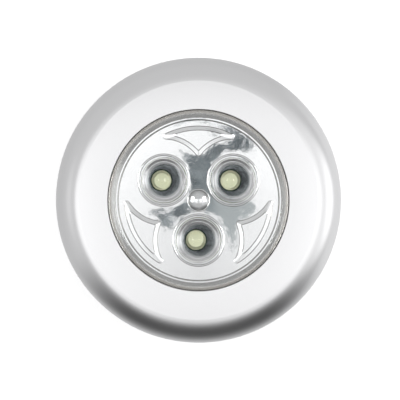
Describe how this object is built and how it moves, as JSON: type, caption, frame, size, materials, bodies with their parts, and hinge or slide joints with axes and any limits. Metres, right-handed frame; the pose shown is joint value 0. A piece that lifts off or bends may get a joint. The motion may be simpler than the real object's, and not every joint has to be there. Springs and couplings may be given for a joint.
{
  "type": "puck light",
  "caption": "Round stick-on battery puck light: silver domed housing, clear lens pressed to switch it over a chrome reflector with LED cups, twist-off back cover with adhesive pad.",
  "frame": {"origin": "centre of the adhesive pad's rear face, where the light meets the wall", "axes": "+Z is the optical axis and points out of the lens; +Y is up in the picture; +X is right in the picture"},
  "size_m": [0.072, 0.072, 0.0284],
  "materials": {
    "silver_painted_abs": "satin silver paint with fine metal flake",
    "clear_polystyrene": "clear, moulded, glossy",
    "metallised_abs": "vacuum-metallised mirror finish",
    "tray_abs": "moulded satin",
    "cover_abs": "fine moulded texture",
    "foam_tape": "closed-cell foam with paper liner",
    "cell_sleeve": "glossy plain sleeve",
    "contact_steel": "nickel-plated spring steel",
    "screw_steel": "zinc-plated",
    "board_laminate": "solder-masked glass laminate",
    "led_epoxy": "clear cast epoxy",
    "lead_steel": "tin-plated",
    "phosphor": "matt phosphor",
    "resistor_ceramic": "matt",
    "switch_nylon": "moulded satin",
    "spring_steel": "bright wire",
    "plunger_acetal": "moulded satin",
    "red_pvc": "satin insulation",
    "black_pvc": "satin insulation"
  },
  "bodies": {
    "body": {"housing": "silver_painted_abs", "battery_tray": "tray_abs", "cell_1": "cell_sleeve", "cell_2": "cell_sleeve", "cell_3": "cell_sleeve", "positive_contact": "contact_steel", "negative_contact": "contact_steel", "bridge_contact_1": "contact_steel", "bridge_contact_2": "contact_steel", "tray_screws": "screw_steel", "led_board": "board_laminate", "board_screws": "screw_steel", "led_1": "led_epoxy", "led_2": "led_epoxy", "led_3": "led_epoxy", "led_leads_1": "lead_steel", "led_leads_2": "lead_steel", "led_leads_3": "lead_steel", "led_phosphor_1": "phosphor", "led_phosphor_2": "phosphor", "led_phosphor_3": "phosphor", "resistor_1": "resistor_ceramic", "resistor_2": "resistor_ceramic", "resistor_3": "resistor_ceramic", "switch_body": "switch_nylon", "switch_terminals": "lead_steel", "switch_spring": "spring_steel", "wire_red": "red_pvc", "wire_black": "black_pvc"},
    "push_head": {"lens": "clear_polystyrene", "reflector": "metallised_abs"},
    "plunger": {"switch_plunger": "plunger_acetal"},
    "cover": {"back_cover": "cover_abs", "adhesive_pad": "foam_tape"}
  },
  "joints": [
    {"name": "lens_push", "type": "slide", "parent": "body", "child": "push_head", "axis": [0, 0, 1], "range_m": [-0.0012, 0], "stiffness_N_per_m": 800, "springref_m": 0.0008},
    {"name": "switch_press", "type": "slide", "parent": "body", "child": "plunger", "axis": [0, 0, 1], "range_m": [-0.0012, 0], "deforming": ["switch_spring"]},
    {"name": "cover_twist", "type": "hinge", "parent": "body", "child": "cover", "pos_m": [0, 0, 0], "axis": [0, 0, 1], "range_deg": [-25, 0]}
  ],
  "couplings": [
    {"joint": "switch_press", "follows": "lens_push", "ratio": 1}
  ]
}
